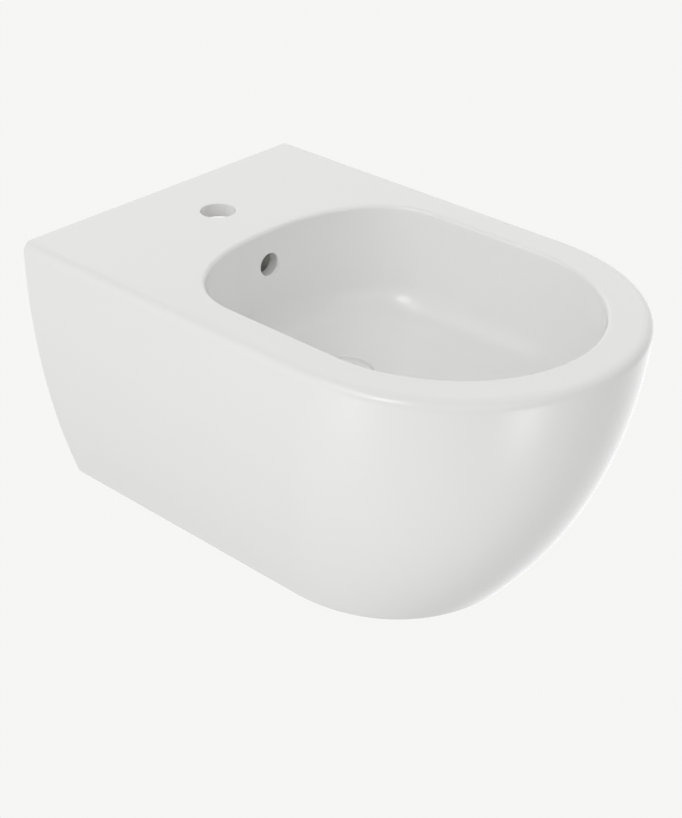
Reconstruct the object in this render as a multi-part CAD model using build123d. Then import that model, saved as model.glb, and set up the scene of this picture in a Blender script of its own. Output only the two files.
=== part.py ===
from build123d import *
import math
import os

# Wall-hung bidet in millimetres. +Z is up, the wall is the plane Y = 0, the front points to -Y, and
# the origin lies on the wall, halfway between the two wall studs. The ceramic is one casting. The two
# hidden wall fixings are built once and placed at both studs.

# Outside of the ceramic
width = 360.0
length = 560.0
height = 282.0
rim_above_studs = 95.0
side_straight = 371.0        # length of the straight side at the rim, from the wall
side_straight_lean = 0.223   # how much shorter that straight gets for each mm of depth
upright_band = 22.9          # depth below the rim in which the sides stay upright
side_arc_radius = 753.7      # arc that each side follows below that band
nose_arc_radius = 477.5      # arc that the nose follows in side view
nose_arc_rise = 28.3         # height of that arc's centre above the rim
nose_power_top = 2.02        # roundness of the front in plan: 2 is an ellipse, more is squarer
nose_power_bottom = 2.15
top_edge_radius = 9.9
bottom_edge_radius = 15.0
shell_wall = 11.0
ledge_thickness = 14.0
bottom_thickness = 10.0

# Bowl
rim_side_width = 40.6        # from the outside to the bowl's wall, its rounded lip included
rim_front_width = 39.5
ledge_depth = 149.1          # from the wall to the bowl's back wall
bowl_back_straight = 245.9   # where the bowl's rounded back end meets its straight sides
bowl_back_power = 2.29
bowl_front_power = 1.99
bowl_draft = 3.0             # degrees that the bowl's wall leans inwards
bowl_depth = 118.0           # from the rim to the drain seat's edge
bowl_blend_radius = 36.0     # between the bowl's wall and its floor
bowl_blend_turn = 80.0       # degrees that this blend turns before the floor goes on to the drain
floor_fall = 5.6             # how far the floor falls from the blend to the drain
bowl_wall = 10.0
lip_radius = 4.0

# Drain, overflow and tap hole
drain_from_wall = 247.0
drain_radius = 23.0
drain_seat_radius = 31.0
drain_seat_depth = 3.0
collar_wall = 12.0
collar_length = 38.0         # below the underside of the bowl's floor
overflow_radius = 11.5
overflow_depth = 36.0        # its centre, below the rim
duct_width = 24.0
duct_depth = 14.0
duct_wall = 7.0
tap_hole_radius = 17.5
tap_hole_from_wall = 79.1
glaze_rounding = 1.2

# Opening in the underside, for the trap and the hoses
bay_half_width = 100.0
bay_length = 330.0
bay_edge_radius = 3.0

# Ceramic sockets that go over the wall fixings
stud_spacing = 180.0
socket_web = 10.0
socket_shelf = 12.0
socket_depth = 72.0
socket_side_gap = 1.0

# Anchor block, on an M12 stud
stud_clearance_radius = 6.5
block_width = 46.0
block_depth = 58.0
block_above_stud = 18.0
block_below_stud = 26.0
block_seat = 22.0            # nylon between the wall and the washer
block_edge = 1.5
nut_pocket_radius = 13.5
wedge_angle = 12.0
wedge_roof = 19.5            # wedge roof below the stud's axis, over the clamp screw
groove_from_wall = 26.0      # where the pad's groove starts
relief_depth = 5.0
relief_margin = 5.0
relief_count = 3

# M12 washer and nut
washer_radius = 12.0
washer_thickness = 2.5
nut_across_flats = 18.0
nut_thickness = 10.8
nut_bore_radius = 5.05       # the thread is plain, at its smallest radius
nut_chamfer_height = 0.8
nut_chamfer_width = 1.4

# M8 clamp screw, its sleeve and its pad
clamp_from_wall = 38.0
clamp_travel = 5.0           # how far the pad backs off before the ceramic can be lifted off
pad_floor_gap = 3.0          # left under the pad when it has backed off
screw_radius = 4.0
screw_length = 45.0
screw_chamfer = 1.0
point_radius = 2.75
point_length = 4.0
key_across_flats = 4.0
key_depth = 5.0
pad_width = 18.0
pad_depth = 16.0
pad_bottom_below_stud = 30.0
pad_edge = 0.8
sleeve_flange_radius = 11.0
sleeve_flange_thickness = 3.0
sleeve_radius = 8.0
sleeve_below_shelf = 3.0
sleeve_rib_count = 6
sleeve_rib_width = 1.6

# Clearances
thread_gap = 0.05            # radial, between the screw and what it turns in
wedge_gap = 0.1              # between the pad's and the block's slanted faces, at rest
pad_side_gap = 0.2
sleeve_hole_gap = 0.6        # radial, between the sleeve and its hole in the ceramic
sleeve_rib_gap = 0.1         # radial, between the sleeve's ribs and that hole

rim_z = rim_above_studs
bottom_z = rim_z - height
socket_floor_below_stud = (
    pad_bottom_below_stud + clamp_travel + pad_floor_gap + sleeve_flange_thickness
)
outside_level_count = 9      # spans between the plan sections of the outside
hollow_level_count = 7       # and of its hollow
front_samples = 14           # spans of each rounded end's spline
lip_first_turn = 4.0         # degrees from level at which the lip's curve leaves the flat rim
circle_power = 2.0           # the superellipse power of a circle
level_count = 4              # spans between the level curves of the bowl's blend and of its floor
seat_overlap = 1.0           # how far the drain seat reaches into the bowl's falling floor
overcut = 2.0                # how far a cutting shape runs past what it cuts
same_place = 0.01            # edges this near a plane count as lying in it


# Plan shapes of the ceramic
def arc_sag(radius, reach):
    """How far an arc of this radius falls away from its tangent at this reach."""
    return radius - math.sqrt(radius**2 - reach**2)


def half_width_at(depth):
    """Half the ceramic's width at a depth below the rim."""
    return width / 2 - arc_sag(side_arc_radius, max(0.0, depth - upright_band))


def nose_at(depth):
    """Distance from the wall to the nose at a depth below the rim; it is longest under the top edge."""
    furthest = arc_sag(nose_arc_radius, top_edge_radius + nose_arc_rise)
    return length + furthest - arc_sag(nose_arc_radius, depth + nose_arc_rise)


def rounded_end(half_width, start_y, end_y, power, z):
    """Spline of half a superellipse, from the left side over end_y to the right side."""
    points = []
    for i in range(front_samples + 1):
        angle = math.pi * i / front_samples
        across = math.copysign(abs(math.cos(angle)) ** (2 / power), -math.cos(angle))
        along = abs(math.sin(angle)) ** (2 / power)
        points.append((half_width * across, start_y + (end_y - start_y) * along, z))
    away = math.copysign(1.0, end_y - start_y)
    return Spline(*points, tangents=[(0, away, 0), (0, -away, 0)], tangent_scalars=[1.0, 1.0])


def shell_section(depth, inset, back_y):
    """Plan face of the outside at a depth below the rim, moved inwards by inset."""
    z = rim_z - depth
    half = half_width_at(depth) - inset
    straight_y = -(side_straight - side_straight_lean * depth)
    power = nose_power_top + (nose_power_bottom - nose_power_top) * depth / height
    nose = rounded_end(half, straight_y, -(nose_at(depth) - inset), power, z)
    right = Line((half, straight_y, z), (half, back_y, z))
    back = Line((half, back_y, z), (-half, back_y, z))
    left = Line((-half, back_y, z), (-half, straight_y, z))
    return make_face(Wire([nose, right, back, left]))


def shell_solid(top_depth, bottom_depth, inset, back_y, steps):
    """The outside, or its hollow, between two depths below the rim."""
    depths = [top_depth + (bottom_depth - top_depth) * i / steps for i in range(steps + 1)]
    return loft([shell_section(depth, inset, back_y) for depth in depths])


def bowl_ring(half_width, back, front, back_straight, front_straight, back_power, front_power):
    """One level curve of the bowl: distances are from the wall."""
    return (half_width, back, front, back_straight, front_straight, back_power, front_power)


def between(first, second, share):
    """A level curve part of the way from one to another."""
    return tuple(a + (b - a) * share for a, b in zip(first, second))


def moved_in(ring, inset):
    """A level curve moved inwards by inset."""
    half_width, back, front, *rest = ring
    return (half_width - inset, back + inset, front - inset, *rest)


def ring_face(ring, z):
    """The plan face inside a level curve."""
    half, back, front, back_straight, front_straight, back_power, front_power = ring
    nose = rounded_end(half, -front_straight, -front, front_power, z)
    right = Line((half, -front_straight, z), (half, -back_straight, z))
    rear = rounded_end(half, -back_straight, -back, back_power, z)
    left = Line((-half, -back_straight, z), (-half, -front_straight, z))
    return make_face(Wire([nose, right, rear, left]))


rim_ring = bowl_ring(
    width / 2 - rim_side_width,
    ledge_depth,
    length - rim_front_width,
    bowl_back_straight,
    side_straight,
    bowl_back_power,
    bowl_front_power,
)
floor_end_radius = drain_seat_radius - seat_overlap
drain_ring = bowl_ring(
    floor_end_radius,
    drain_from_wall - floor_end_radius,
    drain_from_wall + floor_end_radius,
    drain_from_wall - seat_overlap / 2,
    drain_from_wall + seat_overlap / 2,
    circle_power,
    circle_power,
)


def stack(levels, grown, ruled=False):
    """A solid through level curves, each grown outwards, and downwards in step with its depth."""
    faces = []
    for depth, ring in levels:
        z = rim_z - depth - grown * depth / bowl_depth
        faces.append(ring_face(moved_in(ring, -grown), z))
    return loft(faces, ruled=ruled)


def bowl_solid(grown):
    """The bowl's hollow, or with grown its outside: wall, blend, and the floor that falls to the drain."""
    wall_lean = math.tan(math.radians(bowl_draft))
    turn = math.radians(bowl_blend_turn)
    lip_end = lip_radius * (1 - math.sin(math.radians(bowl_draft)))
    blend_end = bowl_depth - floor_fall
    blend_start = blend_end - bowl_blend_radius * math.sin(turn)
    wall_inset = (blend_start - lip_end) * wall_lean
    wall = [(lip_end, rim_ring), (blend_start, moved_in(rim_ring, wall_inset))]
    if grown:
        wall[0] = (0.0, rim_ring)
    blend, floor = [], []
    for i in range(level_count + 1):
        angle = turn * i / level_count
        depth = blend_start + bowl_blend_radius * math.sin(angle)
        inset = wall_inset + bowl_blend_radius * (1 - math.cos(angle))
        blend.append((depth, moved_in(rim_ring, inset)))
    for i in range(level_count + 1):
        share = i / level_count
        fall = floor_fall * (1 - (1 - share) ** 2)
        floor.append((blend_end + fall, between(blend[-1][1], drain_ring, share)))
    return stack(wall, grown, ruled=True) + stack(blend, grown) + stack(floor, grown)


def bowl_mouth():
    """The flare that rounds the lip, from the wall out to the flat rim."""
    first = math.radians(lip_first_turn)
    last = math.radians(90 - bowl_draft)
    levels = []
    for i in range(level_count + 1):
        angle = first + (last - first) * i / level_count
        flare = lip_radius * (1 - math.sin(angle))
        levels.append((lip_radius * (1 - math.cos(angle)), moved_in(rim_ring, -flare)))
    widest = levels[0][1]
    return stack([(-overcut, widest), levels[0]], 0.0, ruled=True) + stack(levels, 0.0)


def block_between(low, high):
    """A box from its lowest to its highest corner."""
    size = [b - a for a, b in zip(low, high)]
    middle = [(a + b) / 2 for a, b in zip(low, high)]
    return Pos(*middle) * Box(*size)


def upright_cylinder(radius, x, y, low_z, high_z):
    """A cylinder along Z between two heights."""
    return Pos(x, y, (low_z + high_z) / 2) * Cylinder(radius, high_z - low_z)


def level_edges(shape, z, beyond_y):
    """Edges that lie in a level plane and reach further forward than beyond_y."""
    found = shape.edges().filter_by_position(Axis.Z, z - same_place, z + same_place)
    return [edge for edge in found if edge.bounding_box().min.Y < beyond_y]


# The ceramic
def outer_solid():
    """The outside with its rounded top and bottom edges."""
    solid = shell_solid(0.0, height, 0.0, 0.0, outside_level_count)
    solid = fillet(level_edges(solid, rim_z, -overcut), top_edge_radius)
    return fillet(level_edges(solid, bottom_z, -overcut), bottom_edge_radius)


def overflow_duct(grown):
    """The overflow's way: down behind the bowl, then under its floor to the drain collar."""
    half = duct_width / 2 + grown
    behind = -(ledge_depth - bowl_wall)
    floor_z = rim_z - bowl_depth - bowl_wall
    top_z = rim_z - ledge_thickness - duct_wall + grown
    down = block_between(
        (-half, behind - 2 * bowl_wall if grown else behind, floor_z - duct_depth - grown),
        (half, behind + duct_depth + grown, top_z),
    )
    along = block_between(
        (-half, -drain_from_wall, floor_z - duct_depth - grown),
        (half, behind + duct_depth + grown, floor_z),
    )
    return down + along


def bay_opening():
    """The opening in the underside, open to the wall and round in front."""
    low, high = bottom_z - overcut, bottom_z + bottom_thickness + overcut
    round_y = -(bay_length - bay_half_width)
    straight = block_between((-bay_half_width, round_y, low), (bay_half_width, overcut, high))
    return straight + upright_cylinder(bay_half_width, 0, round_y, low, high)


def socket_shelves(side):
    """Two shelves and two webs that go over one anchor block."""
    inner = stud_spacing / 2 - block_width / 2 - socket_side_gap
    outer = stud_spacing / 2 + block_width / 2 + socket_side_gap
    roof, floor = block_above_stud, -socket_floor_below_stud
    spans = []
    for low_z, high_z in ((roof, roof + socket_shelf), (floor - socket_shelf, floor)):
        reach = half_width_at(rim_z - low_z) - shell_wall / 2
        spans.append((inner - socket_web, reach, low_z, high_z))
    spans.append((inner - socket_web, inner, floor - socket_shelf, roof + socket_shelf))
    spans.append((outer, outer + socket_web, floor - socket_shelf, roof + socket_shelf))
    shape = None
    for near, far, low_z, high_z in spans:
        low_x, high_x = sorted((side * near, side * far))
        piece = block_between((low_x, -socket_depth, low_z), (high_x, 0, high_z))
        shape = piece if shape is None else shape + piece
    return shape


def rounded_mouths(body):
    """Rounds the edges of the tap hole and of the underside's opening."""
    tap_mouth = body.edges().filter_by(GeomType.CIRCLE)
    tap_mouth = tap_mouth.filter_by_position(Axis.Z, rim_z - same_place, rim_z + same_place)
    body = fillet(tap_mouth, glaze_rounding)
    low_edges = body.edges().filter_by_position(Axis.Z, bottom_z - same_place, bottom_z + same_place)
    reach = bay_half_width + same_place
    bay_mouth = [edge for edge in low_edges if edge.bounding_box().max.X < reach]
    return fillet([edge for edge in bay_mouth if edge.length > overcut], bay_edge_radius)


def ceramic_body():
    """The whole casting."""
    hollow_bottom = height - bottom_thickness
    hollow = shell_solid(
        ledge_thickness, hollow_bottom, shell_wall, overcut, hollow_level_count
    )
    low_edges = level_edges(hollow, bottom_z + bottom_thickness, -overcut)
    hollow = fillet(low_edges, bottom_edge_radius - shell_wall)
    floor_z = rim_z - bowl_depth - bowl_wall
    body = outer_solid() - hollow - bay_opening()
    body += bowl_solid(bowl_wall)
    collar_z = floor_z - collar_length
    body += upright_cylinder(
        drain_radius + collar_wall, 0, -drain_from_wall, collar_z, floor_z + bowl_wall / 2
    )
    body += overflow_duct(duct_wall)
    for side in (-1, 1):
        body += socket_shelves(side)
        hole_x = side * stud_spacing / 2
        shelf_z = -socket_floor_below_stud
        body -= upright_cylinder(
            sleeve_radius + sleeve_hole_gap,
            hole_x,
            -clamp_from_wall,
            shelf_z - socket_shelf - overcut,
            shelf_z + overcut,
        )
    body -= bowl_solid(0.0) + bowl_mouth()
    body -= overflow_duct(0.0)
    seat_z = rim_z - bowl_depth - drain_seat_depth
    body -= upright_cylinder(
        drain_seat_radius, 0, -drain_from_wall, seat_z, rim_z - bowl_depth + seat_overlap
    )
    body -= upright_cylinder(drain_radius, 0, -drain_from_wall, collar_z - overcut, seat_z + overcut)
    body -= upright_cylinder(
        tap_hole_radius, 0, -tap_hole_from_wall, rim_z - ledge_thickness - overcut, rim_z + overcut
    )
    overflow_z = rim_z - overflow_depth
    middle_y = -(ledge_depth - bowl_wall / 2)
    body -= Pos(0, middle_y, overflow_z) * Rot(90, 0, 0) * Cylinder(overflow_radius, 2 * bowl_wall)
    return rounded_mouths(body)


# The wall fixings, drawn about the stud's axis
def anchor_block():
    """Nylon block on the stud: nut pocket in front, slanted groove for the pad underneath."""
    half = block_width / 2
    low = (-half, -block_depth, -block_below_stud)
    high = (half, 0, block_above_stud)
    block = block_between(low, high)
    block = fillet(block.edges().filter_by(Axis.Y), block_edge)
    block -= Pos(0, -block_seat / 2, 0) * Rot(90, 0, 0) * Cylinder(stud_clearance_radius, block_seat)
    pocket = block_depth - block_seat
    block -= Pos(0, -block_seat - pocket / 2, 0) * Rot(90, 0, 0) * Cylinder(nut_pocket_radius, pocket)
    groove_half = pad_width / 2 + pad_side_gap
    block -= wedge_prism(groove_half, 0.0, -block_depth, -groove_from_wall, -block_below_stud)
    rib_span = (block_depth - relief_margin) / relief_count
    for side in (-1, 1):
        for i in range(relief_count):
            start = -relief_margin - rib_span * i
            near, far = sorted((side * (half - relief_depth), side * (half + overcut)))
            low = (near, start - rib_span + relief_margin, relief_margin - block_below_stud)
            block -= block_between(low, (far, start, block_above_stud - relief_margin))
    return block


def wedge_prism(half, sink, front_y, rear_y, low_z):
    """A prism with a slanted top that rises towards the wall, sink below the groove's roof."""
    slope = math.tan(math.radians(wedge_angle))
    roof = -wedge_roof - sink / math.cos(math.radians(wedge_angle))
    heights = [roof + slope * (y + clamp_from_wall) for y in (front_y, rear_y)]
    outline = Polyline(
        (0, front_y, low_z),
        (0, rear_y, low_z),
        (0, rear_y, heights[1]),
        (0, front_y, heights[0]),
        close=True,
    )
    return Pos(-half, 0, 0) * extrude(make_face(outline), half * 2, dir=(1, 0, 0))


def stud_washer():
    """Flat M12 washer against the block's seat."""
    ring = Cylinder(washer_radius, washer_thickness) - Cylinder(stud_clearance_radius, washer_thickness)
    return Pos(0, -block_seat - washer_thickness / 2, 0) * Rot(90, 0, 0) * ring


def stud_nut():
    """M12 hexagon nut in front of the washer, with its corners turned down."""
    corner = nut_across_flats / math.sqrt(3)
    hexagon = extrude(RegularPolygon(corner, 6), nut_thickness / 2, both=True)
    round_ends = Cylinder(corner, nut_thickness).edges().filter_by(GeomType.CIRCLE)
    round_off = chamfer(round_ends, nut_chamfer_height, nut_chamfer_width)
    nut = (hexagon & round_off) - Cylinder(nut_bore_radius, nut_thickness)
    return Pos(0, -block_seat - washer_thickness - nut_thickness / 2, 0) * Rot(90, 0, 0) * nut


def clamp_sleeve():
    """Flanged nylon sleeve in the socket's lower shelf, with the screw's thread."""
    top = -socket_floor_below_stud
    end = top - socket_shelf - sleeve_below_shelf
    y = -clamp_from_wall
    sleeve = upright_cylinder(sleeve_flange_radius, 0, y, top, top + sleeve_flange_thickness)
    sleeve += upright_cylinder(sleeve_radius, 0, y, end, top)
    rib_radius = sleeve_radius + sleeve_hole_gap - sleeve_rib_gap
    ribs = None
    for i in range(sleeve_rib_count):
        rib = Pos(0, y, 0) * Rot(0, 0, 360 * i / sleeve_rib_count) * block_between(
            (0, -sleeve_rib_width / 2, top - socket_shelf), (rib_radius, sleeve_rib_width / 2, top)
        )
        ribs = rib if ribs is None else ribs + rib
    sleeve += ribs
    return sleeve - upright_cylinder(
        screw_radius + thread_gap, 0, y, end, top + sleeve_flange_thickness
    )


def clamp_screw():
    """Hexagon socket set screw with a dog point, its key socket facing down."""
    shoulder = -pad_bottom_below_stud - wedge_gap
    end = shoulder + point_length - screw_length
    y = -clamp_from_wall
    shank = upright_cylinder(screw_radius, 0, y, end, shoulder)
    shank = chamfer(shank.edges().filter_by(GeomType.CIRCLE), screw_chamfer)
    screw = shank + upright_cylinder(point_radius, 0, y, shoulder, shoulder + point_length)
    key = extrude(RegularPolygon(key_across_flats / math.sqrt(3), 6), key_depth)
    return screw - Pos(0, y, end) * key


def pressure_pad():
    """Wedge pad that the groove keeps from turning, on the screw's point."""
    half = pad_width / 2
    front_y, rear_y = -clamp_from_wall - pad_depth / 2, -clamp_from_wall + pad_depth / 2
    pad = wedge_prism(half, wedge_gap, front_y, rear_y, -pad_bottom_below_stud)
    pad = chamfer(pad.edges().filter_by(Axis.Z), pad_edge)
    socket_top = -pad_bottom_below_stud + point_length + wedge_gap
    return pad - upright_cylinder(
        point_radius + thread_gap, 0, -clamp_from_wall, -pad_bottom_below_stud - overcut, socket_top
    )


fixing_parts = {
    "anchor_block": anchor_block(),
    "stud_washer": stud_washer(),
    "stud_nut": stud_nut(),
    "clamp_sleeve": clamp_sleeve(),
    "clamp_screw": clamp_screw(),
    "pressure_pad": pressure_pad(),
}

os.makedirs("parts", exist_ok=True)
export_step(ceramic_body(), "parts/ceramic_body.step")
for name, shape in fixing_parts.items():
    for side_name, side in (("left", -1), ("right", 1)):
        placed = Pos(side * stud_spacing / 2, 0, 0) * shape
        export_step(placed, f"parts/{name}_{side_name}.step")
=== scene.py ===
# %% [markdown]
# # A wall-hung bidet
#
# The object is one casting of white glazed vitreous china. It hangs on two wall studs, and a small clamp
# inside each rear corner pulls it tight against the wall.
# The construction model is loaded first and stays where it is. Every piece below is dressed around it.

# %% Load the frame
import math

import bmesh
import bpy
import numpy as np
from mathutils import Matrix, Vector
from mathutils.geometry import tessellate_polygon


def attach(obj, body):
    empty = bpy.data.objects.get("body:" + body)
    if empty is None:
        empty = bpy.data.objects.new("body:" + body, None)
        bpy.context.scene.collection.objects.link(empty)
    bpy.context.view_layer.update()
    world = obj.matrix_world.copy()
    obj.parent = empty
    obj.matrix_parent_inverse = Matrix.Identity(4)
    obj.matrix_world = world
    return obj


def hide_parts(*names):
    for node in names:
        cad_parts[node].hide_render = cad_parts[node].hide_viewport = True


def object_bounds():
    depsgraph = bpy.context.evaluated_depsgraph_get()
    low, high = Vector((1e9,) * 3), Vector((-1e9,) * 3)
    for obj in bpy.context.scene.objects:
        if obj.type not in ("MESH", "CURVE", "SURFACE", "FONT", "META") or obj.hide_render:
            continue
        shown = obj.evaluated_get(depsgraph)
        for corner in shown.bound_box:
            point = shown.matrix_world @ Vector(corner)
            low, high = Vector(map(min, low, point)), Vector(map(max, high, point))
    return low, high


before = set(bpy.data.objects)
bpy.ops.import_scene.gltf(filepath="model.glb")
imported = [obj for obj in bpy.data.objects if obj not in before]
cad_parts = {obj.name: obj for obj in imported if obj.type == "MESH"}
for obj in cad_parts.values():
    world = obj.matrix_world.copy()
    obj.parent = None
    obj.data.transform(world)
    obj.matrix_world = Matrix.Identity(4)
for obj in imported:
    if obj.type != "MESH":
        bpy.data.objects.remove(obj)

scene = bpy.context.scene
cad_low, cad_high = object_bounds()
print("CAD box in metres", [round(v, 4) for v in cad_low], [round(v, 4) for v in cad_high])

# %% [markdown]
# ## Units and collections
#
# Shapes are worked out in millimetres, as a maker of sanitary ware would write them, and become metres
# only when a mesh is made. A short helper does that in one place, so no other line has to.

# %% Units
MM = 0.001


def metres(point):
    """A millimetre point as a Blender vector."""
    return Vector(point) * MM


def link(thing):
    """Puts an object into the scene and hands it back."""
    scene.collection.objects.link(thing)
    return thing


# %% [markdown]
# ## Camera
#
# The camera comes first, because it decides what needs most care. The photograph looks down at the bidet
# from the front left with a long lens. The angles were found by matching the rim's straight sides,
# the bowl's edge and the two holes.

# %% Camera
camera_place = (-1.09468, -1.27985, 0.80332)
camera_yaw = math.radians(46.64)      # to the right of the +Y axis
camera_pitch = math.radians(29.988)   # below the horizon

studio_camera = link(bpy.data.objects.new("studio_camera", bpy.data.cameras.new("studio_camera")))
studio_camera.data.sensor_fit = "AUTO"
studio_camera.data.sensor_width = 36.0
studio_camera.data.lens = 78.274
studio_camera.location = camera_place
looking = Vector((
    math.sin(camera_yaw) * math.cos(camera_pitch),
    math.cos(camera_yaw) * math.cos(camera_pitch),
    -math.sin(camera_pitch),
))
studio_camera.rotation_mode = "QUATERNION"
studio_camera.rotation_quaternion = looking.to_track_quat("-Z", "Y")
scene.camera = studio_camera
print("camera looks along", [round(v, 3) for v in looking])

# %% [markdown]
# ## Floor and light
#
# The photograph shows the bidet alone on an even, nearly white ground with hardly a shadow. A floor far
# below the object gives that ground from every side. It glows for the camera only, as the light itself
# comes from the surround.
#
# A glossy white object takes its form from what it mirrors, above and below. One lamp would print a hard
# spot on it, and an even surround would make it flat. So the surround is dark with broad soft panels in
# it. Each panel was tried alone in a test picture, which shows what it lights and where it mirrors, and the
# strengths were then balanced against the photograph's greys. The tight panel high on the left draws the
# streak in the bowl, and the two low tight ones draw the upright bands on the side and on the nose.

# %% Floor
floor_drop = 2.6
floor_half = 60.0
ground_colour = (0.921, 0.921, 0.905, 1.0)


def emission_material(name, colour, strength):
    """A plain surface that gives light evenly."""
    material = bpy.data.materials.new(name)
    material.use_nodes = True
    tree = material.node_tree
    tree.nodes.clear()
    glow = tree.nodes.new("ShaderNodeEmission")
    glow.inputs["Color"].default_value = colour
    glow.inputs["Strength"].default_value = strength
    out = tree.nodes.new("ShaderNodeOutputMaterial")
    tree.links.new(glow.outputs["Emission"], out.inputs["Surface"])
    return material


floor_mesh = bpy.data.meshes.new("studio_floor")
floor_corners = [(-1, -1), (1, -1), (1, 1), (-1, 1)]
floor_mesh.from_pydata([(x * floor_half, y * floor_half, -floor_drop) for x, y in floor_corners], [], [(0, 1, 2, 3)])
floor_mesh.materials.append(emission_material("plain_ground", ground_colour, 1.0))
studio_floor = link(bpy.data.objects.new("studio_floor", floor_mesh))
studio_floor.visible_diffuse = False
studio_floor.visible_glossy = False
studio_floor.visible_transmission = False
studio_floor.visible_shadow = False

# %% [markdown]
# ## Node groups
#
# A node group is a small machine with named inputs and outputs. It is built once and then used wherever
# the same effect is wanted, so that a change in one place reaches every material. Two short helpers keep
# the code readable: one opens a group, the other adds a node and sets or links its sockets.

# %% Node helpers
def open_group(name, inputs, outputs):
    """An empty shader node group; hands back the group and its two end nodes."""
    group = bpy.data.node_groups.new(name, "ShaderNodeTree")
    for label, kind, value in inputs:
        socket = group.interface.new_socket(label, in_out="INPUT", socket_type="NodeSocket" + kind)
        socket.default_value = value
    for label, kind in outputs:
        group.interface.new_socket(label, in_out="OUTPUT", socket_type="NodeSocket" + kind)
    return group, group.nodes.new("NodeGroupInput"), group.nodes.new("NodeGroupOutput")


def add(tree, kind, values=None, **settings):
    """A node with its settings; a value that is a socket is linked, any other is set."""
    made = tree.nodes.new("ShaderNode" + kind)
    for key, value in settings.items():
        setattr(made, key, value)
    for key, value in (values or {}).items():
        if isinstance(value, bpy.types.NodeSocket):
            tree.links.new(value, made.inputs[key])
        else:
            made.inputs[key].default_value = value
    return made


def math_node(tree, operation, first, second):
    """The result socket of a sum, product or the like of two values or sockets."""
    return add(tree, "Math", {0: first, 1: second}, operation=operation).outputs[0]


def use_group(tree, group, values):
    """A node that runs a group."""
    made = tree.nodes.new("ShaderNodeGroup")
    made.node_tree = group
    for key, value in values.items():
        if isinstance(value, bpy.types.NodeSocket):
            tree.links.new(value, made.inputs[key])
        else:
            made.inputs[key].default_value = value
    return made


# %% [markdown]
# ## The surround
#
# Each soft panel is brightest in one direction and fades away evenly around it. A power of the cosine
# does that: a small power makes a broad panel, a large one a tight panel that shows as a streak in the
# gloss. The camera itself sees the plain ground instead.

# %% World and lights
soft_panels = [
    # where it stands, direction, tightness, strength
    ("high on the left", (-0.80, -0.02, 0.60), 60.0, 5.36),
    ("high on the left, towards the wall", (-0.61, 0.35, 0.71), 60.0, 2.15),
    ("low in front", (-0.06, -0.80, -0.60), 60.0, 1.89),
    ("low on the left", (-0.84, 0.20, -0.50), 60.0, 1.06),
    ("high front left", (-0.40, -0.77, 0.50), 6.0, 1.23),
    ("behind", (0.29, 0.93, 0.23), 6.0, 1.19),
    ("left, towards the wall", (-0.86, 0.35, 0.37), 6.0, 1.18),
    ("low on the right", (0.89, 0.12, -0.43), 6.0, 1.08),
    ("low left, towards the wall", (-0.71, 0.49, -0.50), 6.0, 0.95),
    ("low behind", (0.38, 0.67, -0.63), 6.0, 0.84),
    ("low front, broad", (0.18, -0.80, -0.57), 6.0, 0.84),
    ("high front right", (0.65, -0.42, 0.63), 6.0, 0.74),
    ("right, towards the wall", (0.85, 0.31, 0.43), 6.0, 0.74),
    ("under the front", (-0.15, -0.41, -0.90), 6.0, 0.61),
    ("overhead", (0.26, 0.00, 0.97), 6.0, 0.58),
    ("under the left side", (-0.68, -0.22, -0.70), 6.0, 0.52),
]


def panel_group():
    """The light of one soft panel in the direction that is looked at."""
    group, given, result = open_group(
        "soft_panel",
        [("Towards", "Vector", (0, 0, 1)), ("Tightness", "Float", 6.0), ("Strength", "Float", 1.0)],
        [("Light", "Float")],
    )
    looked_at = add(group, "TexCoord").outputs["Generated"]
    facing = add(group, "VectorMath", {0: looked_at, 1: given.outputs["Towards"]}, operation="DOT_PRODUCT")
    lit = math_node(group, "MAXIMUM", facing.outputs["Value"], 0.0)
    falloff = math_node(group, "POWER", lit, given.outputs["Tightness"])
    group.links.new(math_node(group, "MULTIPLY", falloff, given.outputs["Strength"]), result.inputs["Light"])
    return group


def make_world():
    """The soft panels for the object, and plain ground for the camera."""
    world = bpy.data.worlds.new("studio_surround")
    world.use_nodes = True
    tree = world.node_tree
    tree.nodes.clear()
    group = panel_group()
    total = None
    for _, towards, tightness, strength in soft_panels:
        panel = use_group(tree, group, {"Towards": towards, "Tightness": tightness, "Strength": strength})
        light = panel.outputs["Light"]
        total = light if total is None else math_node(tree, "ADD", total, light)
    surround = add(tree, "Background", {"Color": (1.0, 1.0, 1.0, 1.0), "Strength": total})
    ground = add(tree, "Background", {"Color": ground_colour})
    path = add(tree, "LightPath")
    mix = add(tree, "MixShader", {"Fac": path.outputs["Is Camera Ray"]})
    tree.links.new(surround.outputs["Background"], mix.inputs[1])
    tree.links.new(ground.outputs["Background"], mix.inputs[2])
    out = add(tree, "OutputWorld")
    tree.links.new(mix.outputs["Shader"], out.inputs["Surface"])
    return world


scene.world = make_world()
scene.view_settings.view_transform = "Standard"
print("soft panels:", len(soft_panels))

# %% [markdown]
# ## Effects that several materials share
#
# Nothing real has the same colour and gloss all over. Five effects are made once here:
# the slow wave and fine orange peel that a poured or moulded surface keeps, a tone that drifts with a few
# specks in it, the fine grain of a moulding, the paler line where edges get rubbed, and dust that has
# settled on whatever faces up. Sizes go in as metres, so a number can be checked against the real thing.

# %% Shared effects
def centred_noise(tree, place, size, detail):
    """Noise of a given grain size in metres, from -0.5 to 0.5."""
    scale = math_node(tree, "DIVIDE", 1.0, size)
    noise = add(tree, "TexNoise", {"Vector": place, "Scale": scale, "Detail": detail})
    return math_node(tree, "SUBTRACT", noise.outputs["Fac"], 0.5)


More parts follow.
